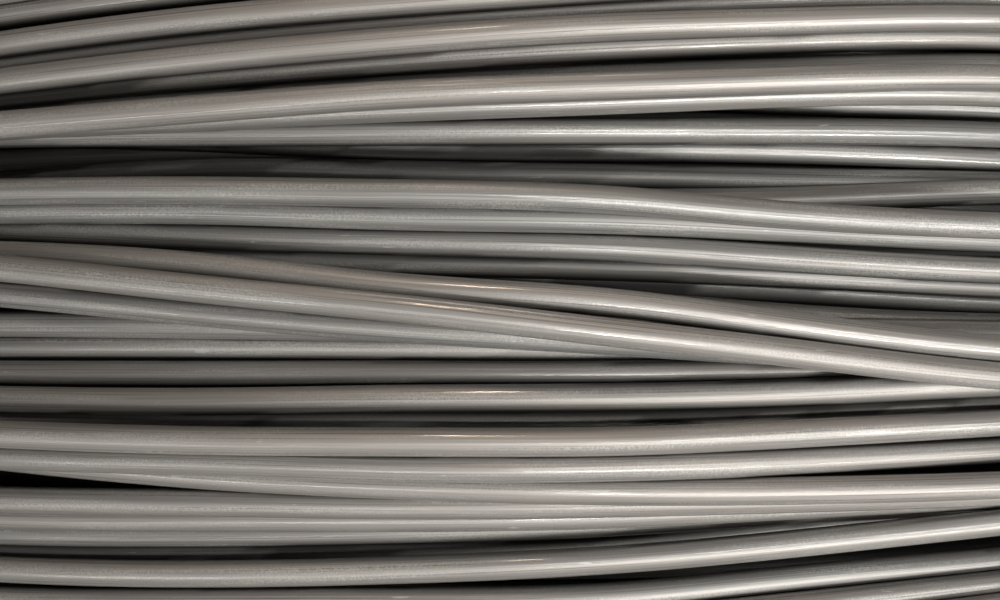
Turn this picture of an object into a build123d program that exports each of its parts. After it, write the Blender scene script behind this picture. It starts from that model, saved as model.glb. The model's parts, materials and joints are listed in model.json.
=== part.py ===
"""Coil of cold heading wire, standing on its end and tied by four steel straps.

The wound wire is one turned solid round a plain bore. Each turn that lies in an end of the
coil shows there as a ridge between two flanks, one for each wire diameter of the wound wall,
and the ridges step down over rounded shoulders at the bore and at the outer wall. Every strap
is a band drawn tight round the wound section. Its two ends lap on the outer wall, under a
seal whose edges and the strap's are notched together.

Units are millimetres. +Z is up along the coil's axis, and the origin is on the floor, in
the middle of the bore.
"""

from build123d import *

import os
from math import cos, radians, sin, sqrt, tan

# Wire and wound coil
wire_diameter = 10.0
bore_diameter = 760.0
wound_thickness = 120.0
wound_height = 430.0
shoulder_radius = 18.0
flank_angle = 30.0

# Straps
strap_count = 4
first_strap_angle = 45.0
strap_width = 32.0
strap_thickness = 1.0
strap_clearance = 0.3
lap_above_seal = 14.0
lap_below_seal = 34.0

# Seals
seal_length = 46.0
seal_wall = 1.2
seal_clearance = 0.1
notch_depth = 2.4
notch_spacing = 22.0

# Sizes that follow from the driving ones
bore_radius = bore_diameter / 2
outer_radius = bore_radius + wound_thickness
wound_base = strap_thickness + strap_clearance
wound_top = wound_base + wound_height
mid_height = (wound_base + wound_top) / 2
turns_across = max(2, round(wound_thickness / wire_diameter))
turn_pitch = wound_thickness / turns_across
ridge_height = turn_pitch / 2 * tan(radians(flank_angle))

# A flat band bridges the hollow wall of the bore, so its middle lies inside the bore's radius
bore_band_radius = sqrt((bore_radius - strap_clearance) ** 2 - (strap_width / 2) ** 2)
strap_back = outer_radius + strap_clearance
lap_length = lap_below_seal + seal_length + lap_above_seal
lap_middle = mid_height + (lap_above_seal - lap_below_seal) / 2
seal_depth = 2 * strap_thickness + seal_clearance + seal_wall


def ridge_drop(turn):
    """How far a turn's ridge lies below the end's level, with the turns counted from the bore."""
    inset = (min(turn, turns_across - 1 - turn) + 0.5) * turn_pitch
    into_shoulder = max(0.0, shoulder_radius - inset)
    return shoulder_radius - sqrt(shoulder_radius**2 - into_shoulder**2)


def end_outline():
    """Points of an end from the bore to the outer wall, each a radius and a depth below it."""
    points = [(bore_radius, shoulder_radius)]
    for turn in range(turns_across):
        turn_start = bore_radius + turn * turn_pitch
        if turn > 0:
            points.append((turn_start, max(ridge_drop(turn - 1), ridge_drop(turn)) + ridge_height))
        points.append((turn_start + turn_pitch / 2, ridge_drop(turn)))
    points.append((outer_radius, shoulder_radius))
    return points


def band_outline(standoff):
    """The closed outline of a band drawn round the section, this far off its near face."""
    low = wound_base - strap_clearance - standoff
    high = wound_top + strap_clearance + standoff
    inner = bore_band_radius - standoff
    outer = strap_back + standoff
    with BuildSketch(mode=Mode.PRIVATE) as outline:
        with Locations(((inner + outer) / 2, (low + high) / 2)):
            bend_radius = shoulder_radius + strap_clearance + standoff
            RectangleRounded(outer - inner, high - low, bend_radius)
    return outline.sketch


def section_plane(angle):
    """The upright plane through the coil's axis at this angle, with its X pointing outwards."""
    outwards = (cos(radians(angle)), sin(radians(angle)), 0)
    across = (sin(radians(angle)), -cos(radians(angle)), 0)
    return Plane(origin=(0, 0, 0), x_dir=outwards, z_dir=across)


def seal_plane(angle):
    """The plane behind the seal at this angle, facing outwards, level with the coil's middle."""
    outwards = (cos(radians(angle)), sin(radians(angle)), 0)
    origin = (strap_back * outwards[0], strap_back * outwards[1], mid_height)
    return Plane(origin=origin, x_dir=(-outwards[1], outwards[0], 0), z_dir=outwards)


def cut_notches(angle):
    """Cuts the two pairs of notches that lock the seal to the edges of the lapped strap."""
    notch_reach = notch_depth + seal_clearance + seal_wall
    across = strap_width + 2 * (notch_reach - notch_depth)
    with BuildSketch(seal_plane(angle), mode=Mode.PRIVATE) as notches:
        with GridLocations(across, notch_spacing, 2, 2):
            RegularPolygon(notch_reach, 4)
    extrude(notches.sketch, amount=2 * seal_depth, both=True, mode=Mode.SUBTRACT)


os.makedirs("parts", exist_ok=True)

# The wound wire, turned about the coil's axis
with BuildPart() as wire_coil:
    with BuildSketch(Plane.XZ):
        with BuildLine():
            top_points = [(radius, wound_top - depth) for radius, depth in end_outline()]
            base_points = [(radius, wound_base + depth) for radius, depth in end_outline()]
            Polyline(*top_points, *reversed(base_points), close=True)
        make_face()
    revolve(axis=Axis.Z)
wire_coil.part.label = "wire_coil"
export_step(wire_coil.part, "parts/wire_coil.step")

for number in range(1, strap_count + 1):
    strap_angle = first_strap_angle + (number - 1) * 360 / strap_count

    # One strap: the band round the section, its lapped ends and the notches in both edges
    with BuildPart() as strap:
        with BuildSketch(section_plane(strap_angle)):
            add(band_outline(strap_thickness))
            add(band_outline(0), mode=Mode.SUBTRACT)
            with Locations((strap_back + 1.5 * strap_thickness, lap_middle)):
                Rectangle(strap_thickness, lap_length)
        extrude(amount=strap_width / 2, both=True)
        cut_notches(strap_angle)
    strap.part.label = f"strap_{number}"
    export_step(strap.part, f"parts/strap_{number}.step")

    # Its seal: a channel folded over both layers and notched into their edges
    with BuildPart() as seal:
        with BuildSketch(seal_plane(strap_angle)):
            Rectangle(strap_width + 2 * (seal_clearance + seal_wall), seal_length)
        extrude(amount=seal_depth)
        with BuildSketch(seal_plane(strap_angle)):
            Rectangle(strap_width + 2 * seal_clearance, seal_length)
        extrude(amount=seal_depth - seal_wall, mode=Mode.SUBTRACT)
        cut_notches(strap_angle)
    seal.part.label = f"seal_{number}"
    export_step(seal.part, f"parts/seal_{number}.step")
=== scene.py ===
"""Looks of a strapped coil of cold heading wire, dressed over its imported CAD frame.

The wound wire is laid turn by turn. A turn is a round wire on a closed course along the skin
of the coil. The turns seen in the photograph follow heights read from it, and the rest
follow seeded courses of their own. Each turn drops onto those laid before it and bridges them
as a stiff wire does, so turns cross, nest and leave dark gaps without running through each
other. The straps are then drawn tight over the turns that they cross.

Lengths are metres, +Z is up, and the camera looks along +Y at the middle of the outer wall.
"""

import json
import logging
import math
from dataclasses import dataclass, field
from enum import Enum

import bpy
import numpy as np
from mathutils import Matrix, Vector
from mathutils.geometry import convex_hull_2d


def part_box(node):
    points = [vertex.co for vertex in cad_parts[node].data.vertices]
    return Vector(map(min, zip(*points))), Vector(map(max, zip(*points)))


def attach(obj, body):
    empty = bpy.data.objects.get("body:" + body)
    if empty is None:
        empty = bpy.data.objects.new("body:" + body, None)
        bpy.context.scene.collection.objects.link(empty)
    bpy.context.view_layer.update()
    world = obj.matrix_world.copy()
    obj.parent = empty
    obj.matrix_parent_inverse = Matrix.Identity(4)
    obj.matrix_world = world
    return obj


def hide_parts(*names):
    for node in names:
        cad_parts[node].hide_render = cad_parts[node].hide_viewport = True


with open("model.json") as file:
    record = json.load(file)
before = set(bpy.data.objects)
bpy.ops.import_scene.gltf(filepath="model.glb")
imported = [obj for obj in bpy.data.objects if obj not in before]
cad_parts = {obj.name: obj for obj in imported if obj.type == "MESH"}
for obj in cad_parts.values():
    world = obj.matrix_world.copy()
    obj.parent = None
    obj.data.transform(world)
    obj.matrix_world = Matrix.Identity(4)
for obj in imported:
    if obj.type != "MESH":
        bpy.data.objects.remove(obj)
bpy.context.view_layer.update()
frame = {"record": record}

STRAP_COUNT = 4
MILLIMETRE = 0.001
FULL_TURN = 2 * math.pi
BODY = "root"

# Short names for the types that many functions share
Array = np.ndarray
Arrays = tuple[Array, Array]
Span = tuple[float, float]
Triple = tuple[float, float, float]
Object = bpy.types.Object
Socket = bpy.types.NodeSocket

logging.basicConfig(level=logging.INFO, format="%(name)s: %(message)s")
log = logging.getLogger("wire_coil")


class Zone(Enum):
    """The side of the coil that a turn belongs to."""

    OUTER_UPPER = "outer_turns_upper"
    OUTER_MIDDLE = "outer_turns_middle"
    OUTER_LOWER = "outer_turns_lower"
    TOP_END = "top_end_turns"
    BORE_UPPER = "bore_turns_upper"
    BORE_LOWER = "bore_turns_lower"
    BASE_END = "base_end_turns"


# Courses of the turns in the photograph


@dataclass(frozen=True)
class SeenTurn:
    """A turn seen in the photograph: its middle line's row at six columns of the picture.

    The rows are read in the 1000 by 600 frame, with row 0 at the top. A row above 0 or
    below 600 continues the turn outside the picture. A turn may lie sunk under the skin at the
    picture's left or right side, by so many millimetres, or proud of it if they are negative.
    Its tone runs from 0, pale warm steel, to 1, darker and cooler steel. It is partly the steel's
    own tone and partly painted shade: turns lying deep in the recesses are given darker tones.
    """

    left: float
    quarter: float
    inner_left: float
    inner_right: float
    three_quarter: float
    right: float
    sunk_left: float = 0.0
    sunk_right: float = 0.0
    tone: float = 0.5

    def rows(self) -> Array:
        """The rows in the order of the columns."""
        named = (self.left, self.quarter, self.inner_left)
        return np.array(named + (self.inner_right, self.three_quarter, self.right))

    def lowest_off(self, angles: Array) -> Array:
        """How far off the skin path the turn would lie, bare, at these angles from the front."""
        left, right = -self.sunk_left * MILLIMETRE, -self.sunk_right * MILLIMETRE
        return np.interp(angles, SINKING_ANGLES, [0.0, left, left, right, right, 0.0])


SEEN_COLUMNS = np.array([0.0, 250.0, 375.0, 625.0, 750.0, 1000.0])

# Angles from the front. A turn leaves the skin at the first, is sunk as its left side between
# the next two and as its right side between the two after them, and is back at the last
SINKING_ANGLES = np.radians([-46.0, -26.0, -8.0, 8.0, 26.0, 46.0])

# Angles on the far side at which a seen turn's course wanders
FAR_ANGLES = np.radians(np.arange(58, 303, 35))

# Angles off a surface's own direction at which it looks for the open air
LOOK_ANGLES = np.radians(np.arange(-72, 73, 18))

# The turns in the order of their laying, which puts each over those before it. First the
# deepest ones, seen dark between the others
DEEP_TURNS = (
    SeenTurn(100, 92, 88, 92, 99, 108, sunk_left=22, sunk_right=6, tone=0.7),
    SeenTurn(136, 141, 146, 149, 150, 160, sunk_left=45, sunk_right=10, tone=1.0),
    SeenTurn(184, 169, 172, 176, 179, 184, sunk_left=50, sunk_right=12, tone=1.0),
    SeenTurn(194, 196, 198, 202, 201, 192, sunk_left=36, sunk_right=4, tone=0.9),
    SeenTurn(65, 36, 25, 8, 2, 0, sunk_left=4, sunk_right=4, tone=0.1),
    SeenTurn(118, 98, 90, 77, 72, 66, sunk_left=14, sunk_right=4, tone=0.4),
    SeenTurn(280, 280, 279, 282, 288, 302, sunk_left=14, sunk_right=3, tone=0.8),
    SeenTurn(250, 257, 261, 268, 273, 285, sunk_left=6, sunk_right=2, tone=0.7),
    SeenTurn(262, 280, 291, 304, 314, 326, sunk_left=20, sunk_right=4, tone=0.7),
    SeenTurn(419, 421, 420, 420, 416, 404, sunk_left=-11, sunk_right=-10, tone=0.3),
    SeenTurn(550, 552, 551, 545, 532, 512, sunk_left=14, sunk_right=20, tone=0.8),
    SeenTurn(452, 466, 472, 473, 470, 464, sunk_left=16, sunk_right=4, tone=0.2),
)

# Then those that lie side by side over the deep ones
MIDDLE_TURNS = (
    SeenTurn(96, 72, 62, 47, 42, 38, tone=0.2),
    SeenTurn(135, 133, 132, 131, 131, 135, sunk_left=12, tone=0.7),
    SeenTurn(127, 115, 109, 100, 95, 94, tone=0.5),
    SeenTurn(228, 238, 241, 248, 256, 271, sunk_left=12, tone=0.8),
    SeenTurn(212, 212, 216, 221, 227, 240, sunk_left=10, sunk_right=10, tone=0.9),
    SeenTurn(192, 191, 193, 201, 212, 226, sunk_left=10, tone=0.8),
    SeenTurn(346, 346, 347, 348, 346, 340, sunk_right=12, tone=0.5),
    SeenTurn(373, 374, 374, 374, 372, 366, sunk_right=10, tone=0.4),
    SeenTurn(324, 326, 328, 330, 331, 335, sunk_right=12, tone=0.7),
    SeenTurn(532, 533, 531, 522, 514, 500, sunk_left=8, sunk_right=18, tone=0.4),
    SeenTurn(516, 518, 518, 514, 508, 496, sunk_left=4, sunk_right=12, tone=0.3),
    SeenTurn(499, 503, 505, 503, 500, 492, sunk_right=6, tone=0.2),
    SeenTurn(457, 478, 484, 491, 491, 485, sunk_left=6, tone=0.1),
    SeenTurn(598, 600, 600, 595, 583, 560),
    SeenTurn(628, 632, 632, 622, 610, 583),
)

# Last those that lie over all the others
FRONT_TURNS = (
    SeenTurn(16, -14, -24, -38, -46, -50, tone=0.2),
    SeenTurn(45, 15, 5, -12, -20, -26, tone=0.1),
    SeenTurn(82, 54, 43, 27, 23, 19, tone=0.1),
    SeenTurn(125, 105, 96, 86, 82, 78, tone=0.3),
    SeenTurn(399, 401, 399, 397, 394, 383, tone=0.4),
    SeenTurn(456, 463, 467, 466, 461, 448, tone=0.1),
    SeenTurn(434, 441, 441, 439, 434, 421, tone=0.0),
    SeenTurn(569, 573, 570, 558, 547, 521),
    SeenTurn(294, 317, 327, 342, 350, 358, sunk_right=10, tone=0.7),
    SeenTurn(254, 271, 285, 304, 320, 349, tone=0.3),
    SeenTurn(268, 294, 306, 334, 348, 376, tone=0.3),
    SeenTurn(655, 662, 664, 650, 636, 605),
)


@dataclass(frozen=True)
class PhotoView:
    """The photograph's camera: level, square to the outer wall and close to it."""

    width_px: float = 1000.0
    height_px: float = 600.0
    focal_px: float = 1428.0
    from_axis: float = 1.0
    height: float = 0.2163
    sensor_mm: float = 36.0
    clip_start: float = 0.01

    def column(self, angle: Array, radius: Array) -> Array:
        """Picture columns of wall points at these angles from the front and radii."""
        depth = self.from_axis - radius * np.cos(angle)
        return self.width_px / 2 + self.focal_px * radius * np.sin(angle) / depth

    def wall_height(self, row: Array, angle: Array, radius: Array) -> Array:
        """Heights above the floor of wall points seen in these picture rows."""
        depth = self.from_axis - radius * np.cos(angle)
        return self.height + (self.height_px / 2 - row) * depth / self.focal_px

    def add_camera(self) -> None:
        """Adds the camera and makes it the scene's."""
        place = (0.0, -self.from_axis, self.height)
        bpy.ops.object.camera_add(location=place, rotation=(math.pi / 2, 0, 0))
        camera = bpy.context.object
        camera.name = "photo_camera"
        camera.data.sensor_width = self.sensor_mm
        camera.data.lens = self.focal_px / self.width_px * self.sensor_mm
        camera.data.clip_start = self.clip_start
        bpy.context.scene.camera = camera


@dataclass
class SkinPath:
    """The middle line of the coil's outermost full layer, in the section through the axis.

    Places on it are lengths from the foot of the outer wall: up the wall, inwards over the top
    end, down the bore and outwards under the base. It is a rectangle with rounded corners.
    """

    inner: float
    outer: float
    low: float
    high: float
    corner: float

    def __post_init__(self) -> None:
        """Works out the lengths of the straights and of the whole path."""
        self.rise = self.high - self.low - 2 * self.corner
        self.across = self.outer - self.inner - 2 * self.corner
        self.bend = self.corner * math.pi / 2
        self.length = 2 * (self.rise + self.across) + 4 * self.bend
        self.top_start = self.rise
        self.bore_start = self.rise + 2 * self.bend + self.across
        self.base_start = 2 * self.rise + 2 * self.bend + self.across

    def place(self, along: Array, off: Array) -> Arrays:
        """Section points at these lengths along the path and distances off it.

        Args:
            along: Lengths along the path, in metres; whole turns of the path may be added.
            off: Distances outwards from the path.

        Returns:
            The points' radii and heights.
        """
        along = np.mod(along, self.length)

        # Of each step: its length, the point that it starts from or bends round, the angle that
        # it faces at its start, and whether it bends
        steps = (
            (self.rise, (self.outer, self.low + self.corner), 0.0, False),
            (self.bend, (self.outer - self.corner, self.high - self.corner), 0.0, True),
            (self.across, (self.outer - self.corner, self.high), math.pi / 2, False),
            (self.bend, (self.inner + self.corner, self.high - self.corner), math.pi / 2, True),
            (self.rise, (self.inner, self.high - self.corner), math.pi, False),
            (self.bend, (self.inner + self.corner, self.low + self.corner), math.pi, True),
            (self.across, (self.inner + self.corner, self.low), 1.5 * math.pi, False),
            (self.bend, (self.outer - self.corner, self.low + self.corner), 1.5 * math.pi, True),
        )
        radius = np.zeros_like(along)
        height = np.zeros_like(along)
        start = 0.0
        for span, (ref_radius, ref_height), facing, is_bend in steps:
            here = (along >= start) & (along <= start + span)
            run = along - start
            turned = facing + run / self.corner if is_bend else np.full_like(run, facing)
            reach = self.corner + off if is_bend else off
            glide = 0.0 if is_bend else run
            radius = np.where(here, ref_radius + reach * np.cos(turned) - glide * math.sin(facing), radius)
            height = np.where(here, ref_height + reach * np.sin(turned) + glide * math.cos(facing), height)
            start += span
        return radius, height


def closed_spline(angles: Array, values: Array, wanted: Array) -> Array:
    """A smooth closed curve of values round the coil.

    Args:
        angles: Increasing angles of the known values, in radians, all within one turn.
        values: The known values.
        wanted: Angles at which values are wanted, within the same turn.

    Returns:
        The values there, from a cubic spline that closes on itself.
    """
    count = len(angles)
    gaps = np.diff(np.append(angles, angles[0] + FULL_TURN))
    rises = np.diff(np.append(values, values[0])) / gaps
    system = np.zeros((count, count))
    for here in range(count):
        before = gaps[here - 1]
        system[here, here - 1] += before
        system[here, here] += 2 * (before + gaps[here])
        system[here, (here + 1) % count] += gaps[here]
    bends = np.linalg.solve(system, 6 * (rises - np.roll(rises, 1)))
    turned = np.where(wanted < angles[0], wanted + FULL_TURN, wanted)
    span = np.clip(np.searchsorted(angles, turned, side="right") - 1, 0, count - 1)
    gap = gaps[span]
    run = turned - angles[span]
    left = gap - run
    ahead = (span + 1) % count
    cubic = (bends[span] * left**3 + bends[ahead] * run**3) / (6 * gap)
    linear = (values[span] / gap - bends[span] * gap / 6) * left
    return cubic + linear + (values[ahead] / gap - bends[ahead] * gap / 6) * run


@dataclass
class Pile:
    """Turns already laid: how far along the path and how far off it each lies at every angle."""

    path: SkinPath
    wire: float
    angle_steps: int = 360
    stiffness: float = math.radians(4.0)
    smoothing_rounds: int = 40
    alongs: list[Array] = field(default_factory=list)
    offs: list[Array] = field(default_factory=list)

    def __post_init__(self) -> None:
        """Sets out the angles and the filter that stands for the wire's stiffness."""
        self.angles = np.arange(self.angle_steps) * FULL_TURN / self.angle_steps
        waves = np.fft.rfftfreq(self.angle_steps, 1 / self.angle_steps)
        self.stiff_filter = np.exp(-0.5 * (waves * self.stiffness) ** 2)

    def rest_off(self, along: Array, lowest: Array) -> Array:
        """The least distance off the path at which a wire clears all those laid.

        Args:
            along: The wire's course, as lengths along the path at every angle.
            lowest: Where the wire would lie with nothing under it.

        Returns:
            The distances off the path at every angle.
        """
        if not self.alongs:
            return lowest.copy()
        half = self.path.length / 2
        apart = np.array(self.alongs) - along
        apart = np.mod(apart + half, self.path.length) - half
        reach = self.wire**2 - apart**2
        lifts = np.where(reach > 0, np.array(self.offs) + np.sqrt(np.maximum(reach, 0)), -np.inf)
        return np.maximum(lifts.max(axis=0), lowest)

    def bridge(self, least: Array) -> Array:
        """The smooth course of a stiff wire that nowhere lies lower than it can.

        Args:
            least: The least distances off the path.

        Returns:
            The wire's distances off the path.
        """
        off = least.copy()
        for _ in range(self.smoothing_rounds):
            smooth = np.fft.irfft(np.fft.rfft(off) * self.stiff_filter, self.angle_steps)
            off = np.maximum(smooth, least)
        return off

    def lay(self, along: Array, lowest: Array | None = None) -> None:
        """Lays a turn over those before it, nowhere below the lowest, which is else the path."""
        lowest = np.zeros_like(along) if lowest is None else lowest
        self.keep(along, self.bridge(self.rest_off(along, lowest)))

    def keep(self, along: Array, off: Array) -> None:
        """Adds a turn to the pile just as it lies."""
        self.alongs.append(along)
        self.offs.append(off)


@dataclass
class WoundCoil:
    """The wound wire: its courses, the laying of its turns and the pieces they make.

    A course is an array of lengths along the skin path, one for every angle. Loose turns are
    counted over the upper wall, the top end, the bore and the lower wall. The wall's middle
    and upper zones start at so many thirds of its height.
    """

    view: PhotoView
    wire: float = 10 * MILLIMETRE
    skin_depth: float = 18 * MILLIMETRE
    top_skin_depth: float = 8 * MILLIMETRE
    bore_skin_depth: float = 8 * MILLIMETRE
    shoulder: float = 16 * MILLIMETRE
    bed_depth: float = 10 * MILLIMETRE
    bed_sag: float = 26 * MILLIMETRE
    bed_sunk_to: float = math.radians(30)
    bed_level_from: float = math.radians(50)
    bed_openness: float = 0.3
    lay_pitch: float = 10.15 * MILLIMETRE
    end_gap: float = 0.75
    far_wander: float = 4.5 * MILLIMETRE
    rest_wander: float = 0.5 * MILLIMETRE
    loose_wander: float = 6 * MILLIMETRE
    loose_margin: float = 6 * MILLIMETRE
    loose_below_rim: float = 20 * MILLIMETRE
    loose_above_foot: float = 30 * MILLIMETRE
    loose_counts: tuple[int, ...] = (4, 3, 14, 4)
    settling_rounds: int = 3
    middle_from: float = 1.1
    upper_from: float = 1.9
    neighbour_reach: float = 50 * MILLIMETRE
    tone_share: float = 0.8
    seed: int = 7
    first_course_seed: int = 1000
    angle_samples: int = 1201
    turn_sides: int = 14
    bed_sides: int = 8
    fine_half_angle: int = 30
    coarse_step: int = 4
    seam_angle: int = 135

    def __post_init__(self) -> None:
        """Takes the coil's size from the frame and sets out its skin path."""
        low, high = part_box("wire_coil")
        bore = next(m for m in frame["record"]["mounts"] if m["name"] == "bore")
        bore_radius = bore["dims"]["r_mm"] * MILLIMETRE
        self.path = SkinPath(
            inner=bore_radius + self.bore_skin_depth,
            outer=high.x - self.skin_depth,
            low=low.z + self.wire / 2,
            high=high.z - self.top_skin_depth,
            corner=self.shoulder,
        )
        self.seen = DEEP_TURNS + MIDDLE_TURNS + FRONT_TURNS
        self.pile = Pile(self.path, self.wire)
        self.rng = np.random.default_rng(self.seed)
        self.wall_foot = self.path.low + self.path.corner

        # The mesh has a station at every angle in front and at some elsewhere, from its seam on
        steps = np.arange(self.pile.angle_steps)
        half = self.pile.angle_steps // 2
        from_front = np.abs((steps + half) % self.pile.angle_steps - half)
        fine = from_front <= self.fine_half_angle
        kept = steps[fine | (steps % self.coarse_step == 0)]
        self.stations = np.roll(kept, -np.searchsorted(kept, self.seam_angle))

    def seen_angles(self, off: Array) -> Array:
        """Angles from the front at which the picture's columns cross a turn.

        Args:
            off: The turn's distances off the path at every angle.

        Returns:
            One angle for each column, in radians.
        """
        half = self.fine_half_angle
        fine = np.radians(np.linspace(-half, half, self.angle_samples))
        columns = self.view.column(fine, self._front_radius(fine, off))
        return np.interp(SEEN_COLUMNS, columns, fine)

    def course(self, seen: SeenTurn, home: float, off: Array) -> Array:
        """The closed course of a turn seen in the photograph.

        Args:
            seen: The turn's rows in the picture.
            home: Height on the wall that the turn keeps to on the far side.
            off: The turn's distances off the path at every angle, as last laid.

        Returns:
            Lengths along the path at every angle.
        """
        at = self.seen_angles(off)
        heights = self.view.wall_height(seen.rows(), at, self._front_radius(at, off))
        far = home + self.rng_for(seen).normal(0.0, self.far_wander, len(FAR_ANGLES))

        # At the first far angle on either side it is half way home
        far[0] = 0.5 * (heights[-1] + home)
        far[-1] = 0.5 * (heights[0] + home)
        angles = np.concatenate([at, FAR_ANGLES])
        values = np.concatenate([heights, far]) - self.wall_foot
        return closed_spline(angles, values, self._signed_angles())

    def rng_for(self, seen: SeenTurn) -> np.random.Generator:
        """Random numbers that belong to one turn, whatever is laid before it."""
        own = seen.left * self.seed + seen.right
        return np.random.default_rng(int(self.first_course_seed + own))

    def _front_radius(self, angles: Array, off: Array) -> Array:
        """Radii, at these angles from the front, of a turn that lies so far off the skin."""
        from_left = np.roll(off, self.pile.angle_steps // 2)
        return self.path.outer + np.interp(angles, self.pile.angles - math.pi, from_left)

    def _signed_angles(self) -> Array:
        """Every angle in the pile's order, with those of the left half below zero."""
        angles = self.pile.angles
        return np.where(angles > math.pi, angles - FULL_TURN, angles)

    def lay_seen(self) -> None:
        """Lays the turns of the photograph, the deep ones first."""
        middle_rows = np.array([turn.rows().mean() for turn in self.seen])
        heights = self.view.wall_height(middle_rows, 0.0, self.path.outer)
        homes = np.linspace(heights.min(), heights.max(), len(self.seen))
        from_lowest = np.argsort(np.argsort(-middle_rows))
        for turn, home in zip(self.seen, homes[from_lowest]):
            off = np.zeros(self.pile.angle_steps)
            lowest = turn.lowest_off(self._signed_angles())
            for _ in range(self.settling_rounds):
                along = self.course(turn, home, off)
                off = self.pile.bridge(self.pile.rest_off(along, lowest))
            self.pile.lay(along, lowest)
        self.seen_top = np.max(self.pile.alongs, axis=0)
        self.seen_foot = np.min(self.pile.alongs, axis=0)

    def lay_rest(self) -> None:
        """Lays a full layer round the rest of the skin, from the seen turns up and round.

        The turns of the base end and of its corners, which carry the coil, lie flat side by side
        and come first.
        """
        room = self.path.length - (self.seen_top - self.seen_foot)
        count = int(room.min() / self.lay_pitch)
        spaces = count - 1 + 2 * self.end_gap
        courses = [self.seen_top + (n + self.end_gap) / spaces * room for n in range(count)]
        for course in courses:
            if self.carries(course):
                self.pile.keep(course, np.zeros(self.pile.angle_steps))
        for course in courses:
            if not self.carries(course):
                self.pile.lay(course + self.smooth_wander(self.rest_wander))

    def carries(self, course: Array) -> bool:
        """Whether a course lies in the base end or its corners, where its turn carries others."""
        return self.path.base_start < np.mod(course.mean(), self.path.length)

    def lay_over(self) -> None:
        """Lays the loose turns that lie over the full layer, away from the photograph."""
        path, margin = self.path, self.loose_margin
        top_end = path.top_start + path.bend
        zones = (
            (self.seen_top.max() + margin, top_end),
            (top_end, path.bore_start - path.bend),
            (path.bore_start + self.loose_below_rim, path.base_start - self.loose_above_foot),
            (path.length - margin, path.length + self.seen_foot.min() - margin),
        )
        for (start, stop), count in zip(zones, self.loose_counts):
            for number in range(count):
                home = start + (number + 0.5) * (stop - start) / count
                course = home + self.smooth_wander(self.loose_wander)
                self.pile.lay(np.clip(course, start, stop))

    def smooth_wander(self, size: float, waves: int = 5) -> Array:
        """A gentle seeded wander round the coil.

        Args:
            size: About how far it wanders, in metres.
            waves: The number of waves that it is made of.

        Returns:
            How far it lies off at every angle.
        """
        wander = np.zeros(self.pile.angle_steps)
        for wave in range(1, waves + 1):
            phase = self.rng.uniform(0, FULL_TURN)
            wander += self.rng.normal(0, size / wave) * np.cos(wave * self.pile.angles + phase)
        return wander

    def lay_all(self) -> None:
        """Lays every turn in order."""
        self.lay_seen()
        log.info("laid %d turns from the photograph", len(self.seen))
        self.lay_rest()
        self.lay_over()
        log.info("laid %d turns in all", len(self.pile.alongs))

    def zone_of(self, along: Array) -> Zone:
        """The side of the coil on which a turn mostly lies.

        Args:
            along: The turn's course.

        Returns:
            Its zone.
        """
        middle = float(np.mod(along.mean(), self.path.length))
        if middle > self.path.base_start + self.path.bend / 2:
            in_base = middle < self.path.length - self.path.bend / 2
            return Zone.BASE_END if in_base else Zone.OUTER_LOWER
        if middle > self.path.bore_start - self.path.bend / 2:
            in_lower = middle > (self.path.bore_start + self.path.base_start) / 2
            return Zone.BORE_LOWER if in_lower else Zone.BORE_UPPER
        if middle > self.path.top_start + self.path.bend / 2:
            return Zone.TOP_END
        third = self.path.rise / 3
        if middle > self.upper_from * third:
            return Zone.OUTER_UPPER
        return Zone.OUTER_MIDDLE if middle > self.middle_from * third else Zone.OUTER_LOWER

    def openness(self, centres: Array, facing: Array, turn: int) -> Array:
        """How open to the air each side of a turn is, between the turns round it.

        Args:
            centres: Section points of every turn at the mesh's stations.
            facing: Section angles of the directions off the skin, for this turn.
            turn: The turn's number.

        Returns:
            Values from 0, closed in, to 1, for each station and side.
        """
        apart = centres - centres[turn]
        near = np.hypot(apart[..., 0], apart[..., 1]).min(axis=1) < self.neighbour_reach
        near[turn] = False
        apart = apart[near]
        radius = self.wire / 2
        turned = facing[:, None] + np.arange(self.turn_sides) * FULL_TURN / self.turn_sides
        to_x = apart[..., 0, None] - radius * np.cos(turned)
        to_y = apart[..., 1, None] - radius * np.sin(turned)
        weights = np.cos(LOOK_ANGLES)
        seen = np.zeros_like(turned)

        # A look is blocked by a near turn in its way, and where it points under the skin
        for look, weight in zip(LOOK_ANGLES, weights):
            ray_x, ray_y = np.cos(turned + look), np.sin(turned + look)
            ahead = to_x * ray_x + to_y * ray_y
            beside = np.abs(to_y * ray_x - to_x * ray_y)
            blocked = ((ahead > 0) & (beside < radius)).any(axis=0)
            blocked |= np.cos(turned + look - facing[:, None]) < 0
            seen += weight * ~blocked
        return seen / weights.sum()

    def wire_points(self, path: SkinPath, along: Array, off: Array) -> Arrays:
        """The middle line of a turn and the directions off the skin, at the mesh's stations.

        Args:
            path: The path that the turn follows.
            along: The turn's course, at every angle.
            off: The turn's distances off the path, at every angle.

        Returns:
            Points and unit directions, each an array of rows.
        """
        step = 0.5 * MILLIMETRE
        angle = self.pile.angles[self.stations]
        radius, height = path.place(along[self.stations], off[self.stations])
        radius_out, height_out = path.place(along[self.stations], off[self.stations] + step)
        across = np.stack([np.sin(angle), -np.cos(angle)], axis=1)
        points = np.column_stack([across * radius[:, None], height])
        outer = np.column_stack([across * radius_out[:, None], height_out])
        return points, (outer - points) / step

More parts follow.
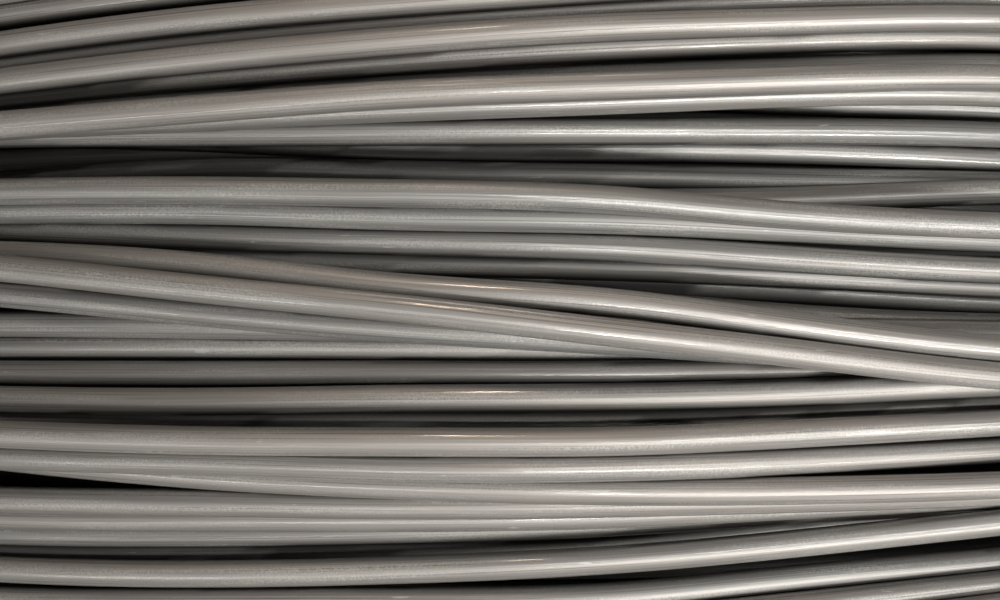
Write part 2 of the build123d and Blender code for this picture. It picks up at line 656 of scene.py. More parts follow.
    def build(self) -> list[Object]:
        """Makes the meshes of every turn and joins them by zone.

        Returns:
            The finished pieces.
        """
        turn_tube = WireTube(self.wire / 2, len(self.stations), self.turn_sides)
        zones: dict[Zone, list[Object]] = {zone: [] for zone in Zone}
        alongs = np.array(self.pile.alongs)[:, self.stations]
        offs = np.array(self.pile.offs)[:, self.stations]
        centres = np.stack(self.path.place(alongs, offs), axis=-1)
        further = np.stack(self.path.place(alongs, offs + MILLIMETRE), axis=-1) - centres
        facings = np.arctan2(further[..., 1], further[..., 0])
        for number, (along, off) in enumerate(zip(self.pile.alongs, self.pile.offs)):
            points, outward = self.wire_points(self.path, along, off)
            tone = self.rng.uniform()
            if number < len(self.seen):
                tone += self.tone_share * (self.seen[number].tone - tone)
            turn = turn_tube.follow(f"turn_{number}", points, outward, tone)
            turn_tube.mark(turn, "openness", self.openness(centres, facings[number], number))
            zones[self.zone_of(along)].append(turn)
        turn_tube.discard()
        pieces = [join_pieces(turns, zone.value) for zone, turns in zones.items() if turns]
        return [*pieces, self.build_bed()]

    def build_bed(self) -> Object:
        """Makes the turns of the layer under the skin, seen dark between the others.

        Returns:
            The finished piece.
        """
        bed = SkinPath(
            inner=self.path.inner + self.bed_depth,
            outer=self.path.outer - self.bed_depth,
            low=self.path.low + self.bed_depth,
            high=self.path.high - self.bed_depth,
            corner=self.wire,
        )

        # Under the outer wall it lies deeper in front and comes up to its level further round
        from_front = np.minimum(self.pile.angles, FULL_TURN - self.pile.angles)
        fade_span = self.bed_level_from - self.bed_sunk_to
        fade = np.clip((self.bed_level_from - from_front) / fade_span, 0, 1)
        sag = -self.bed_sag * fade**2 * (3 - 2 * fade)
        tube = WireTube(self.wire / 2, len(self.stations), self.bed_sides)
        count = int(bed.length / self.lay_pitch)
        turns = []
        for number in range(count):
            home = np.full(self.pile.angle_steps, (number + 0.5) * bed.length / count)
            points, outward = self.wire_points(bed, home, sag if home[0] < bed.rise else 0 * sag)
            turn = tube.follow(f"bed_{number}", points, outward, self.rng.uniform())
            tube.mark(turn, "openness", np.full((tube.stations, tube.sides), self.bed_openness))
            turns.append(turn)
        tube.discard()
        return join_pieces(turns, "bed_turns")


@dataclass
class WireTube:
    """A ring of round wire, modelled once and copied along each turn's course."""

    wire_radius: float
    stations: int
    sides: int
    ring_radius: float = 0.5

    def __post_init__(self) -> None:
        """Adds the ring and notes which station and side each of its points belongs to."""
        deselect_all()
        bpy.ops.mesh.primitive_torus_add(
            major_segments=self.stations,
            minor_segments=self.sides,
            major_radius=self.ring_radius,
            minor_radius=self.wire_radius,
            generate_uvs=True,
        )
        self.ring = bpy.context.object
        bpy.ops.object.shade_smooth()
        mesh = self.ring.data
        mesh.uv_layers[0].name = "wire_uv"
        flat = np.empty(len(mesh.vertices) * 3)
        mesh.vertices.foreach_get("co", flat)
        x, y, z = flat.reshape(-1, 3).T
        turned = np.arctan2(y, x) / FULL_TURN
        self.station_of = np.rint(turned * self.stations).astype(int) % self.stations
        rolled = np.arctan2(z, np.hypot(x, y) - self.ring_radius) / FULL_TURN
        self.side_of = np.rint(rolled * self.sides).astype(int) % self.sides
        corners = np.empty(len(mesh.loops), int)
        mesh.loops.foreach_get("vertex_index", corners)
        self.corner_station = self._unwrapped(self.station_of[corners], self.stations)
        self.corner_side = self._unwrapped(self.side_of[corners], self.sides)

    @staticmethod
    def _unwrapped(index: Array, count: int) -> Array:
        """Numbers the corners of each face, with the last face running on past the seam.

        Args:
            index: The station or the side of each corner.
            count: How many stations or sides there are.

        Returns:
            The same numbers, with the count in place of 0 where a face crosses the seam.
        """
        faces = index.reshape(-1, 4)
        crosses = (faces.max(axis=1) - faces.min(axis=1)) > 1
        return np.where(crosses[:, None] & (faces == 0), count, faces).ravel()

    def follow(self, name: str, points: Array, outward: Array, tone: float) -> Object:
        """Copies the ring and lays the copy along a course.

        Args:
            name: Name of the new turn.
            points: The course's points, one for each station.
            outward: Directions off the skin at those points.
            tone: The turn's own number from 0 to 1, for its finish.

        Returns:
            The turn.
        """
        turn = self.ring.copy()
        turn.data = self.ring.data.copy()
        turn.name = name
        bpy.context.collection.objects.link(turn)
        ahead = np.roll(points, -1, axis=0)
        tangent = ahead - np.roll(points, 1, axis=0)
        tangent /= np.linalg.norm(tangent, axis=1)[:, None]
        outward = outward - (outward * tangent).sum(axis=1)[:, None] * tangent
        outward /= np.linalg.norm(outward, axis=1)[:, None]
        upward = np.cross(outward, tangent)
        rolled = self.side_of * FULL_TURN / self.sides
        reach = np.cos(rolled)[:, None] * outward[self.station_of]
        reach += np.sin(rolled)[:, None] * upward[self.station_of]
        corners = points[self.station_of] + self.wire_radius * reach
        turn.data.vertices.foreach_set("co", corners.ravel())
        steps = np.linalg.norm(ahead - points, axis=1)
        lengths = np.concatenate([[0.0], np.cumsum(steps)])
        uv = np.column_stack([lengths[self.corner_station], self.corner_side / self.sides])
        turn.data.uv_layers["wire_uv"].data.foreach_set("uv", uv.ravel())
        self.mark(turn, "turn_tone", np.full((self.stations, self.sides), tone))
        turn.data.update()
        return turn

    def mark(self, turn: Object, name: str, values: Array) -> None:
        """Stores this attribute of a turn, from an array of the stations by the sides."""
        attribute = turn.data.attributes.new(name, "FLOAT", "POINT")
        attribute.data.foreach_set("value", values[self.station_of, self.side_of])

    def discard(self) -> None:
        """Removes the ring that the turns were copied from."""
        mesh = self.ring.data
        bpy.data.objects.remove(self.ring)
        bpy.data.meshes.remove(mesh)


def deselect_all() -> None:
    """Leaves nothing selected."""
    bpy.ops.object.select_all(action="DESELECT")


def join_pieces(parts: list[Object], name: str) -> Object:
    """Joins objects into one piece.

    Args:
        parts: The objects to join.
        name: Name of the piece.

    Returns:
        The joined piece.
    """
    deselect_all()
    for part in parts:
        part.select_set(True)
    bpy.context.view_layer.objects.active = parts[0]
    if len(parts) > 1:
        bpy.ops.object.join()
    piece = bpy.context.object
    piece.name = name
    piece.data.name = name
    return piece


def band_line(centres: Array, reach: float, bend_step: float = math.radians(9)) -> Arrays:
    """The closed line of a band drawn tight round some round wires, seen end on.

    Args:
        centres: The wires' centres, a row for each.
        reach: Distance of the line from the centres that it bends round.
        bend_step: Largest turn of the line between two of its points.

    Returns:
        The line's points, anticlockwise, and the outward directions there.
    """
    hull = centres[convex_hull_2d([Vector(centre) for centre in centres])]
    ahead = np.roll(hull, -1, axis=0)

    # Twice the area that the hull runs round, below zero if it runs clockwise
    if np.sum(hull[:, 0] * ahead[:, 1] - ahead[:, 0] * hull[:, 1]) < 0:
        hull = hull[::-1]
        ahead = np.roll(hull, -1, axis=0)
    run = ahead - hull
    facing = np.arctan2(-run[:, 0], run[:, 1])
    points, outward = [], []
    for here, corner in enumerate(hull):
        turned = (facing[here] - facing[here - 1]) % FULL_TURN
        for share in np.linspace(0, 1, max(1, math.ceil(turned / bend_step)) + 1):
            angle = facing[here - 1] + share * turned
            direction = np.array([math.cos(angle), math.sin(angle)])
            points.append(corner + reach * direction)
            outward.append(direction)
    return np.array(points), np.array(outward)


@dataclass(frozen=True)
class StrapSizes:
    """Sizes of a strap and of its seal.

    Those that the frame's solids have too are the same, apart from the notches. There they are
    cut, and here a pinch draws the seal's edges in, over deeper notches in the strap. The joggle
    is the stretch in which the strap climbs onto its own first end, and it is at its full
    height after a share of it, the joggle rise.
    """

    width: float = 32 * MILLIMETRE
    thickness: float = 1 * MILLIMETRE
    clearance: float = 0.3 * MILLIMETRE
    lap_top: float = 37 * MILLIMETRE
    lap_foot: float = 57 * MILLIMETRE
    joggle: float = 9 * MILLIMETRE
    seal_length: float = 46 * MILLIMETRE
    seal_wall: float = 1.2 * MILLIMETRE
    seal_clearance: float = 0.1 * MILLIMETRE
    notch_spacing: float = 22 * MILLIMETRE
    notch_half_length: float = 3.7 * MILLIMETRE
    notch_depth: float = 3.4 * MILLIMETRE
    shoulder: float = 4 * MILLIMETRE
    lap_gap: float = 0.03 * MILLIMETRE
    joggle_rise: float = 0.8
    joggle_rows: int = 7
    strap_round: float = 0.2 * MILLIMETRE
    seal_rim: float = 0.1 * MILLIMETRE
    seal_rim_width: float = 0.6 * MILLIMETRE
    seal_bend: float = 1.3 * MILLIMETRE
    seal_bend_columns: int = 5
    seal_round: float = 0.25 * MILLIMETRE
    seal_rows: int = 63
    seal_columns: int = 8
    pinch_slack: float = 0.5 * MILLIMETRE
    pinch_reach: float = 6 * MILLIMETRE
    pinch_dip: float = 0.12

    def notch(self, from_middle: Array) -> Array:
        """How open the notches are, from 0 to 1, at these lengths from the seal's middle."""
        from_notch = np.abs(np.abs(from_middle) - self.notch_spacing / 2)
        return np.clip(1 - from_notch / self.notch_half_length, 0, 1)


@dataclass
class TiedStrap:
    """One strap drawn tight round the laid turns, and the seal that holds its lapped ends."""

    coil: WoundCoil
    number: int
    sizes: StrapSizes = field(default_factory=StrapSizes)
    line_samples: int = 4001
    wall_facing: float = 0.7
    looks_across: int = 5
    length_digits: int = 5

    def __post_init__(self) -> None:
        """Finds the strap's place in the frame and the line that it takes round the turns."""
        low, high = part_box(f"strap_{self.number}")
        middle = (low + high) / 2
        self.angle = math.atan2(middle.x, -middle.y)
        low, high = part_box("wire_coil")
        self.mid_height = (low.z + high.z) / 2
        reach = self.coil.wire / 2 + self.sizes.clearance + self.sizes.thickness / 2
        self.points, self.outward = band_line(self._wires_under(), reach)
        steps = np.linalg.norm(np.roll(self.points, -1, axis=0) - self.points, axis=1)
        self.lengths = np.concatenate([[0.0], np.cumsum(steps)[:-1]])
        self.girth = float(steps.sum())
        self.start = self._wall_length(self.mid_height - self.sizes.lap_foot)
        self.seal_middle = self._wall_length(self.mid_height)
        self.stop = self._wall_length(self.mid_height + self.sizes.lap_top) + self.girth

    def _wires_under(self) -> Array:
        """Looks up the turns under the strap's whole width.

        Returns:
            Their centres in the strap's own plane, a row for each.
        """
        centres = []
        pile = self.coil.pile
        for across in np.linspace(-0.5, 0.5, self.looks_across) * self.sizes.width:
            for along, off in zip(pile.alongs, pile.offs):
                aside = across / self.coil.path.outer
                where = (self.angle + aside) % FULL_TURN
                here = np.interp(where, pile.angles, along, period=FULL_TURN)
                lift = np.interp(where, pile.angles, off, period=FULL_TURN)
                radius, height = self.coil.path.place(np.array([here]), np.array([lift]))
                centres.append((math.sqrt(radius[0] ** 2 - across**2), height[0]))
        return np.array(centres)

    def _wall_length(self, height: float) -> float:
        """Finds where the line passes a height on the outer wall.

        Args:
            height: The height above the floor.

        Returns:
            The length along the line.
        """
        fine = np.linspace(0, self.girth, self.line_samples)
        points, outward = self._at(fine)
        on_wall = outward[:, 0] > self.wall_facing
        miss = np.where(on_wall, np.abs(points[:, 1] - height), np.inf)
        return float(fine[np.argmin(miss)])

    def _at(self, lengths: Array) -> Arrays:
        """Looks up places on the line.

        Args:
            lengths: Lengths along the line.

        Returns:
            The points there and the outward directions.
        """
        values = np.hstack([self.points, self.outward])
        found = [np.interp(lengths, self.lengths, column, period=self.girth) for column in values.T]
        outward = np.array(found[2:]).T
        return np.array(found[:2]).T, outward / np.linalg.norm(outward, axis=1)[:, None]

    def _place(self, piece: Object, plane_points: Array, across: Array) -> None:
        """Puts a piece's vertices in their places.

        Args:
            piece: The piece.
            plane_points: Their points in the strap's plane.
            across: Their distances across it.
        """
        out = np.array([math.sin(self.angle), -math.cos(self.angle), 0.0])
        aside = np.array([math.cos(self.angle), math.sin(self.angle), 0.0])
        corners = plane_points[:, :1] * out + across[:, None] * aside
        corners[:, 2] = plane_points[:, 1]
        piece.data.vertices.foreach_set("co", corners.ravel())
        piece.data.update()

    def build_band(self) -> Object:
        """Makes the strap: once round the turns and on over its own first end.

        Returns:
            The strap.
        """
        sizes = self.sizes
        notch_at = [
            self.seal_middle + side * sizes.notch_spacing / 2 + part * sizes.notch_half_length
            for side in (-1, 1)
            for part in (-1, 0, 1)
        ]
        joggle_stop = self.start + self.girth
        joggle_at = np.linspace(joggle_stop - sizes.joggle, joggle_stop, sizes.joggle_rows)
        marks = np.concatenate([notch_at, np.array(notch_at) + self.girth, joggle_at])
        bends = np.concatenate([self.lengths, self.lengths + self.girth, self.lengths + 2 * self.girth])
        wanted = np.concatenate([[self.start, self.stop], marks, bends])
        wanted = wanted[(wanted >= self.start) & (wanted <= self.stop)]
        wanted = np.unique(np.round(wanted, self.length_digits))

        # Across the strap are its two edges, a line a shoulder in from each, and its middle
        columns = np.array([-0.5, -0.5, 0.0, 0.5, 0.5]) * sizes.width
        columns[[1, 3]] += np.array([1, -1]) * sizes.shoulder
        piece, row, column = grid_piece(f"strap_{self.number}_band", len(wanted), len(columns))
        points, outward = self._at(wanted)
        climbed = wanted - self.start - self.girth + sizes.joggle
        ramp = np.clip(climbed / (sizes.joggle_rise * sizes.joggle), 0, 1)
        lift = (sizes.thickness + sizes.lap_gap) * ramp**2 * (3 - 2 * ramp)
        points = points + lift[:, None] * outward
        from_seal = (wanted - self.seal_middle + self.girth / 2) % self.girth - self.girth / 2
        inset = sizes.notch_depth * sizes.notch(from_seal)
        edge = (column == 0) | (column == len(columns) - 1)
        across = columns[column] - np.where(edge, np.sign(columns[column]) * inset[row], 0.0)
        self._place(piece, points[row], across)
        set_sheet_uv(piece, wanted[row] - self.start, columns[column])
        thicken(piece, sizes.thickness, sizes.strap_round)
        return piece

    def build_seal(self) -> Object:
        """Makes the seal: a channel over both layers, pinched into their edges at the notches.

        Returns:
            The seal.
        """
        sizes = self.sizes
        half = sizes.width / 2 + sizes.seal_clearance + sizes.seal_wall / 2
        face = 2 * sizes.thickness + sizes.seal_clearance + sizes.seal_wall / 2
        bend = sizes.seal_bend

        # Half the channel's profile, from its rim round the bend to the middle of its face
        turned = np.linspace(0, math.pi / 2, sizes.seal_bend_columns)
        rim = [sizes.seal_rim, sizes.seal_rim + sizes.seal_rim_width]
        rim_across = np.concatenate([[half, half], half - bend + bend * np.cos(turned)])
        rim_depth = np.concatenate([rim, face - bend + bend * np.sin(turned)])
        flat_across = np.linspace(half - bend, 0, sizes.seal_columns)[1:]
        side_across = np.concatenate([rim_across, flat_across])
        side_depth = np.concatenate([rim_depth, np.full(len(flat_across), face)])
        profile_across = np.concatenate([side_across, -side_across[-2::-1]])
        profile_depth = np.concatenate([side_depth, side_depth[-2::-1]])
        lengths = np.linspace(-0.5, 0.5, sizes.seal_rows) * sizes.seal_length
        piece, row, column = grid_piece(f"strap_{self.number}_seal", len(lengths), len(profile_across))
        points, outward = self._at(self.seal_middle + lengths)
        pinch = sizes.notch(lengths)[row] * (sizes.notch_depth - sizes.pinch_slack)
        from_edge = half - np.abs(profile_across[column])
        near_edge = np.clip(1 - from_edge / sizes.pinch_reach, 0, 1)
        across = profile_across[column] - np.sign(profile_across[column]) * pinch * near_edge
        upper = profile_depth[column] > sizes.thickness
        depth = profile_depth[column] - sizes.pinch_dip * pinch * near_edge * upper
        plane_points = points[row] + (depth - sizes.thickness / 2)[:, None] * outward[row]
        self._place(piece, plane_points, across)
        set_sheet_uv(piece, lengths[row], profile_across[column])
        thicken(piece, sizes.seal_wall, sizes.seal_round)
        return piece


def grid_piece(name: str, rows: int, columns: int) -> tuple[Object, Array, Array]:
    """Adds a flat grid to be shaped.

    Args:
        name: The new piece's name.
        rows: Number of its points lengthwise.
        columns: Number of its points across.

    Returns:
        The piece, and the row and the column that each of its vertices belongs to.
    """
    deselect_all()
    bpy.ops.mesh.primitive_grid_add(x_subdivisions=rows - 1, y_subdivisions=columns - 1, size=1)
    piece = bpy.context.object
    piece.name = name
    piece.data.name = name
    flat = np.empty(len(piece.data.vertices) * 3)
    piece.data.vertices.foreach_get("co", flat)
    x, y, _ = flat.reshape(-1, 3).T
    row = np.rint((x + 0.5) * (rows - 1)).astype(int)
    column = np.rint((y + 0.5) * (columns - 1)).astype(int)
    return piece, row, column


def set_sheet_uv(piece: Object, lengthwise: Array, across: Array) -> None:
    """Lays a sheet's texture coordinates out in metres.

    Args:
        piece: The sheet, before it is given its thickness.
        lengthwise: How far along the sheet each vertex lies.
        across: How far across it each vertex lies.
    """
    mesh = piece.data
    mesh.uv_layers[0].name = "sheet_uv"
    corners = np.empty(len(mesh.loops), int)
    mesh.loops.foreach_get("vertex_index", corners)
    uv = np.column_stack([lengthwise[corners], across[corners]])
    mesh.uv_layers["sheet_uv"].data.foreach_set("uv", uv.ravel())


# A sheet's edges are eased where faces meet at more than the first angle, and its faces are
# shaded smooth where they meet at less than the second
EASED_FROM = math.radians(60)
SMOOTH_UP_TO = math.radians(35)


def thicken(piece: Object, thickness: float, edge_round: float) -> None:
    """Gives a sheet its thickness, eases its edges and turns its normals outwards.

    Args:
        piece: The sheet.
        thickness: Its thickness, half of it on either side.
        edge_round: How far its edges are eased.
    """
    deselect_all()
    piece.select_set(True)
    bpy.context.view_layer.objects.active = piece
    solid = piece.modifiers.new("solid", "SOLIDIFY")
    solid.thickness = thickness
    solid.offset = 0.0
    bpy.ops.object.modifier_apply(modifier=solid.name)
    eased = piece.modifiers.new("eased", "BEVEL")
    eased.width = edge_round
    eased.segments = 1
    eased.limit_method = "ANGLE"
    eased.angle_limit = EASED_FROM
    bpy.ops.object.modifier_apply(modifier=eased.name)
    bpy.ops.object.mode_set(mode="EDIT")
    bpy.ops.mesh.select_all(action="SELECT")
    bpy.ops.mesh.normals_make_consistent(inside=False)
    bpy.ops.object.mode_set(mode="OBJECT")
    bpy.ops.object.shade_smooth_by_angle(angle=SMOOTH_UP_TO)


@dataclass
class NodeSheet:
    """The nodes of one material, with short ways to add to them."""

    material: bpy.types.Material

    def __post_init__(self) -> None:
        """Finds the material's shader."""
        self.material.use_nodes = True
        self.nodes = self.material.node_tree.nodes
        self.links = self.material.node_tree.links
        self.shader = self.nodes["Principled BSDF"]

    def add(self, kind: str, output: str | int, inputs: dict, **settings: str) -> Socket:
        """Adds a node.

        Args:
            kind: The node's kind, without the words that all kinds start with.
            output: The output that is wanted.
            inputs: A socket to link or a plain value for each input, by name or by number.
            **settings: The node's own settings.

        Returns:
            That output.
        """
        node = self.nodes.new(f"ShaderNode{kind}")
        for name, value in settings.items():
            setattr(node, name, value)
        for name, value in inputs.items():
            if isinstance(value, Socket):
                self.links.new(value, node.inputs[name])
            else:
                node.inputs[name].default_value = value
        return node.outputs[output]

    def uv(self, name: str) -> Socket:
        """The texture coordinates of this name."""
        return self.add("UVMap", "UV", {}, uv_map=name)

    def attribute(self, name: str) -> Socket:
        """The value stored under this name."""
        return self.add("Attribute", "Fac", {}, attribute_name=name)

    def math(self, operation: str, *values: Socket | float) -> Socket:
        """The result of a sum on sockets or numbers."""
        return self.add("Math", 0, dict(enumerate(values)), operation=operation)

    def noise(self, vector: Socket, scale: Triple, detail: float) -> Socket:
        """A noise read in these coordinates, stretched by these scales."""
        stretched = self.add("Mapping", "Vector", {"Vector": vector, "Scale": scale})
        return self.add("TexNoise", "Fac", {"Vector": stretched, "Scale": 1.0, "Detail": detail})

    def remap(self, value: Socket, span: Span, result: Span = (0.0, 1.0)) -> Socket:
        """The value moved smoothly from one span to another and kept within it."""
        ends = dict(zip(("From Min", "From Max", "To Min", "To Max"), (*span, *result)))
        return self.add("MapRange", "Result", {"Value": value, **ends}, interpolation_type="SMOOTHSTEP")

    def patches(
        self, vector: Socket, scale: Triple, detail: float, span: Span, result: Span = (0.0, 1.0)
    ) -> Socket:
        """Soft-edged patches: a noise whose values in this span run over the result's."""
        return self.remap(self.noise(vector, scale, detail), span, result)

    def mix(self, share: Socket, first: Socket | Triple, second: Socket | Triple) -> Socket:
        """A colour between two others."""
        first, second = (c if isinstance(c, Socket) else (*c, 1) for c in (first, second))
        return self.add("MixRGB", "Color", {"Fac": share, "Color1": first, "Color2": second})

    def bump(self, height: Socket, distance: float) -> Socket:
        """The surface's direction with this relief in it, of this depth in metres."""
        return self.add("Bump", "Normal", {"Height": height, "Distance": distance})

    def feed(self, name: str, value: Socket) -> None:
        """Links a value to one of the shader's inputs."""
        self.links.new(value, self.shader.inputs[name])


@dataclass(frozen=True)
class SheetFinish:
    """Thin steel strip, blued or zinc plated, rubbed bright in places along its length."""

    name: str
    ground: Triple
    rubbed: Triple
    metallic: float
    roughness_low: float
    roughness_high: float

    def build(self) -> bpy.types.Material:
        """Makes the material.

        Returns:
            The material.
        """
        sheet = NodeSheet(bpy.data.materials.new(self.name))
        sheet.shader.inputs["Metallic"].default_value = self.metallic
        uv = sheet.uv("sheet_uv")
        rub = sheet.noise(uv, (14.0, 420.0, 1.0), 4.0)
        cloud = sheet.noise(uv, (60.0, 60.0, 1.0), 5.0)
        rubbed = sheet.remap(sheet.math("MULTIPLY", rub, cloud), (0.16, 0.42))
        sheet.feed("Base Color", sheet.mix(rubbed, self.ground, self.rubbed))
        sheet.feed("Roughness", sheet.remap(cloud, (0.3, 0.7), (self.roughness_low, self.roughness_high)))
        return sheet.material


@dataclass(frozen=True)
class DrawnWireFinish:
    """Cold drawn steel under a thin dull coat of drawing soap, with darker streaks, and painted shade
    between the turns.
    """

    name: str = "drawn_wire"
    warm: Triple = (0.296, 0.275, 0.256)
    cool: Triple = (0.216, 0.213, 0.204)
    frost: Triple = (0.44, 0.43, 0.41)
    # Near black: the colour of the darker streaks, and of the painted shade between the turns
    grime_and_painted_shade: Triple = (0.02, 0.018, 0.016)
    metallic: float = 0.58
    roughness_low: float = 0.42
    roughness_high: float = 0.62
    sheen: float = 0.42
    sheen_roughness: float = 0.1
    sheen_index: float = 1.75
    line_depth: float = 0.06 * MILLIMETRE
    shift_by_tone: float = 37.0

    def build(self) -> bpy.types.Material:
        """Makes the material.

        Returns:
            The material.
        """
        sheet = NodeSheet(bpy.data.materials.new(self.name))
        sheet.shader.inputs["Metallic"].default_value = self.metallic
        sheet.shader.inputs["Coat Roughness"].default_value = self.sheen_roughness
        sheet.shader.inputs["Coat IOR"].default_value = self.sheen_index
        space = self._wire_space(sheet)
        tone = sheet.attribute("turn_tone")
        # How open a side of the turn is between its neighbours; where it is closed in, painted shade
        # darkens the colour and the coat is taken off
        unshaded = sheet.remap(sheet.attribute("openness"), (0.03, 0.4))

        # A turn's tone picks its colour between warm and cool steel; the darker tones of the deep seen
        # turns are partly painted shade
        cast = sheet.math("MULTIPLY_ADD", tone, 0.5, sheet.noise(space, (3.0, 0.8, 0.8), 2.0))
        colour = sheet.mix(sheet.remap(cast, (0.45, 1.05)), self.warm, self.cool)
        streaks = sheet.noise(space, (5.0, 7.0, 7.0), 4.0)
        colour = sheet.mix(sheet.remap(streaks, (0.5, 0.25), (0.0, 0.6)), colour, self.grime_and_painted_shade)
        scratches = sheet.patches(space, (9.0, 22.0, 22.0), 3.0, (0.5, 0.7), (0.0, 0.5))
        colour = sheet.mix(scratches, colour, self.frost)
        bloom = sheet.patches(space, (12.0, 1.4, 1.4), 3.0, (0.42, 0.72))
        speckle = sheet.patches(space, (1300.0, 7.0, 7.0), 3.0, (0.3, 0.8))
        frosted = sheet.math("MULTIPLY", bloom, speckle)
        scuffs = sheet.patches(space, (70.0, 2.6, 2.6), 4.0, (0.7, 0.76), (0.0, 0.8))
        colour = sheet.mix(sheet.math("MAXIMUM", frosted, scuffs), colour, self.frost)
        # Painted shade: the colour goes to near black where the turn is closed in between its neighbours
        sheet.feed("Base Color", sheet.mix(unshaded, self.grime_and_painted_shade, colour))

        rough = sheet.remap(streaks, (0.3, 0.7), (self.roughness_high, self.roughness_low))
        sheet.feed("Roughness", sheet.math("MULTIPLY_ADD", frosted, 0.2, rough))
        gloss = sheet.patches(space, (3.5, 2.2, 2.2), 3.0, (0.4, 0.6), (0.03, self.sheen))
        # The coat fades out where the shade is painted, so no sheen shows in the gaps
        sheet.feed("Coat Weight", sheet.math("MULTIPLY", gloss, unshaded))
        lines = sheet.bump(sheet.noise(space, (5.0, 8.0, 8.0), 4.0), self.line_depth)
        sheet.feed("Normal", lines)
        sheet.feed("Coat Normal", lines)
        return sheet.material

    def _wire_space(self, sheet: NodeSheet) -> Socket:
        """Makes coordinates along the wire and round it, without a seam and new for every turn.

        Args:
            sheet: The material's nodes.

        Returns:
            The coordinates.
        """
        uv = {"Vector": sheet.uv("wire_uv")}
        along = sheet.add("SeparateXYZ", "X", uv)
        turned = sheet.math("MULTIPLY", sheet.add("SeparateXYZ", "Y", uv), FULL_TURN)
        shifted = sheet.math("MULTIPLY_ADD", sheet.attribute("turn_tone"), self.shift_by_tone, along)
        sides = {"Y": sheet.math("COSINE", turned), "Z": sheet.math("SINE", turned)}
        return sheet.add("CombineXYZ", "Vector", {"X": shifted, **sides})


WARM = (1.0, 0.95, 0.9)
LAMP = (1.0, 0.8, 0.62)
DAY = (1.0, 0.985, 0.955)
PLAIN = (1.0, 0.99, 0.97)
LIGHT_AIM = Vector((0, 0, 0.2))


class Reach(Enum):
    """What a light falls on."""

    COIL = "coil"
    FLOOR = "floor"


@dataclass(frozen=True)
class Softbox:
    """A rectangular light that faces the coil's middle."""

    name: str
    place: Triple
    size: Span
    watts: float
    colour: Triple = DAY
    reach: Reach = Reach.COIL

    def build(self, lit: bpy.types.Collection) -> None:
        """Adds the light.

        Args:
            lit: The collection that says what it falls on and what it is hidden by.
        """
        data = bpy.data.lights.new(self.name, "AREA")
        data.shape = "RECTANGLE"
        data.size, data.size_y = self.size
        data.energy = self.watts
        data.color = self.colour
        lamp = bpy.data.objects.new(self.name, data)
        lamp.location = self.place
        aim = LIGHT_AIM - Vector(self.place)
        lamp.rotation_euler = aim.to_track_quat("-Z", "Y").to_euler()
        lamp.visible_camera = False
        lamp.light_linking.receiver_collection = lit
        if self.reach is Reach.COIL:
            lamp.light_linking.blocker_collection = lit
        bpy.context.collection.objects.link(lamp)


SOFTBOXES = (
    Softbox("floor_light", (0.0, 0.0, 14.0), (100.0, 100.0), 22500.0, PLAIN, Reach.FLOOR),
    Softbox("overhead", (0.0, 0.0, 2.6), (0.9, 0.9), 26.0, WARM),
    Softbox("front_low", (1.1, -1.8, -0.6), (2.4, 0.08), 40.5),
    Softbox("front_level", (1.1, -1.8, 0.12), (2.6, 0.05), 16.0),
    Softbox("front_left", (-1.0, -1.65, -0.7), (1.6, 0.06), 5.0),
    Softbox("back_low", (-0.2, 2.2, -0.3), (3.0, 0.12), 34.0),
    Softbox("back_level", (0.4, 2.2, 0.3), (3.0, 0.1), 22.0),
    Softbox("back_high_left", (-1.9, 1.4, 1.7), (1.4, 0.5), 26.0),
    Softbox("back_high_right", (1.9, 1.4, 1.7), (1.4, 0.5), 26.0),
    Softbox("left", (-2.3, 0.6, -0.1), (2.0, 0.14), 4.0),
    Softbox("lamp", (-0.17, -2.2, 2.5), (0.35, 0.2), 14.0, LAMP),
)


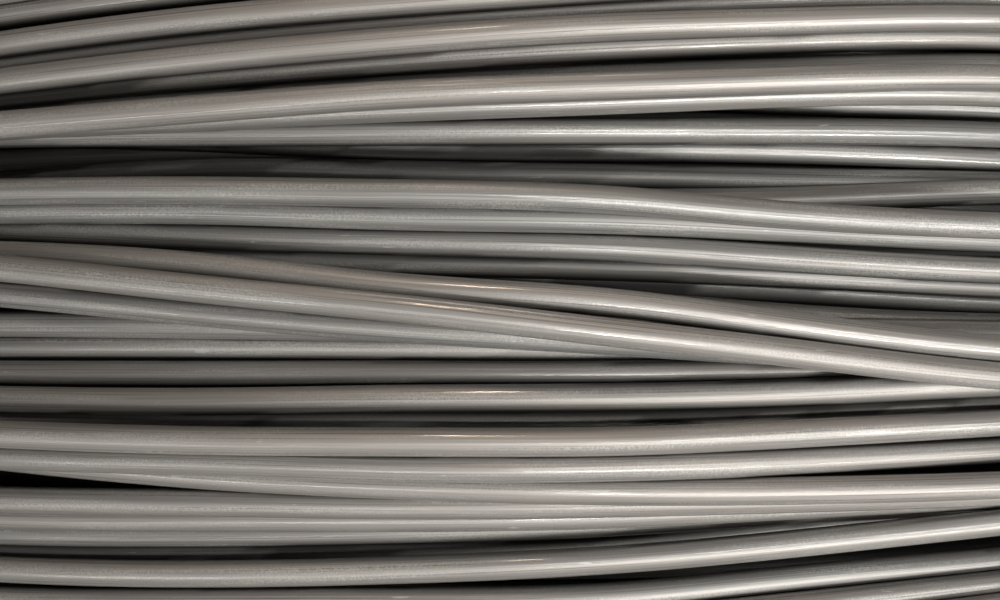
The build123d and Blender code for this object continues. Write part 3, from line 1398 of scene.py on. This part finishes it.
@dataclass
class Studio:
    """The plain pale floor, the pale background and the soft light."""

    floor_size: float = 60.0
    floor_colour: Triple = (0.78, 0.77, 0.75)
    floor_roughness: float = 0.8
    background: Triple = (0.98, 0.97, 0.95)
    backdrop: float = 0.58
    ambient: float = 0.07

    def build(self) -> None:
        """Adds the floor, the lights and the background."""
        floor = self._add_floor()
        self._add_background()
        lit = {
            Reach.COIL: self._collection("light_on_coil", floor, "EXCLUDE"),
            Reach.FLOOR: self._collection("light_on_floor", floor, "INCLUDE"),
        }
        for softbox in SOFTBOXES:
            softbox.build(lit[softbox.reach])
        bpy.context.scene.view_settings.view_transform = "Standard"

    def _add_background(self) -> None:
        """Adds the background, seen pale but giving little light."""
        world = bpy.data.worlds.new("studio")
        bpy.context.scene.world = world
        world.use_nodes = True
        nodes, links = world.node_tree.nodes, world.node_tree.links
        nodes["Background"].inputs["Color"].default_value = (*self.background, 1)
        path = nodes.new("ShaderNodeLightPath")
        strength = nodes.new("ShaderNodeMapRange")
        strength.inputs["To Min"].default_value = self.ambient
        strength.inputs["To Max"].default_value = self.backdrop
        links.new(path.outputs["Is Camera Ray"], strength.inputs["Value"])
        links.new(strength.outputs["Result"], nodes["Background"].inputs["Strength"])

    def _add_floor(self) -> Object:
        """Adds the floor with its own plain finish.

        Returns:
            The floor.
        """
        deselect_all()
        bpy.ops.mesh.primitive_plane_add(size=self.floor_size, location=(0, 0, 0))
        floor = bpy.context.object
        floor.name = "studio_floor"
        material = bpy.data.materials.new("studio_floor")
        material.use_nodes = True
        shader = material.node_tree.nodes["Principled BSDF"]
        shader.inputs["Base Color"].default_value = (*self.floor_colour, 1)
        shader.inputs["Roughness"].default_value = self.floor_roughness
        floor.data.materials.append(material)
        return floor

    @staticmethod
    def _collection(name: str, floor: Object, state: str) -> bpy.types.Collection:
        """Makes a collection that holds the floor, to light it alone or to leave it out.

        Args:
            name: The collection's name.
            floor: The floor.
            state: Whether the lights that use it include the floor or exclude it.

        Returns:
            The collection.
        """
        collection = bpy.data.collections.new(name)
        collection.objects.link(floor)
        collection.collection_objects[0].light_linking.link_state = state
        return collection


def dress(piece: Object, finish: bpy.types.Material, node: str) -> None:
    """Gives a piece its finish and puts it in a node's place.

    Args:
        piece: The finished piece.
        finish: Its material.
        node: The frame's node that it is seen instead of.
    """
    piece.data.materials.clear()
    piece.data.materials.append(finish)
    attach(piece, BODY)
    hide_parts(node)
    log.info("%s: %d faces", piece.name, len(piece.data.polygons))


def main() -> None:
    """Builds the coil, its straps and the studio, in order."""
    view = PhotoView()
    coil = WoundCoil(view)
    coil.lay_all()
    finish = DrawnWireFinish().build()
    # The bed turns get a darker, less glossy copy of the wire's finish: painted shade for the deep gaps
    # between the outer turns
    shaded_bed_finish = DrawnWireFinish(
        name="bed_wire_painted_shade",
        warm=(0.09, 0.085, 0.078),
        cool=(0.07, 0.07, 0.067),
        frost=(0.12, 0.12, 0.115),
        sheen=0.1,
    ).build()
    for piece in coil.build():
        dress(piece, shaded_bed_finish if piece.name == "bed_turns" else finish, "wire_coil")
    strap_finish = SheetFinish(
        name="blued_strap",
        ground=(0.035, 0.04, 0.05),
        rubbed=(0.12, 0.125, 0.135),
        metallic=0.75,
        roughness_low=0.28,
        roughness_high=0.5,
    ).build()
    seal_finish = SheetFinish(
        name="zinc_seal",
        ground=(0.2, 0.205, 0.21),
        rubbed=(0.33, 0.33, 0.33),
        metallic=1.0,
        roughness_low=0.38,
        roughness_high=0.55,
    ).build()
    for number in range(1, STRAP_COUNT + 1):
        strap = TiedStrap(coil, number)
        dress(strap.build_band(), strap_finish, f"strap_{number}")
        dress(strap.build_seal(), seal_finish, f"seal_{number}")
        log.info("strap %d is %.0f mm round", number, strap.girth / MILLIMETRE)
    Studio().build()
    view.add_camera()


if __name__ == "__main__":
    main()
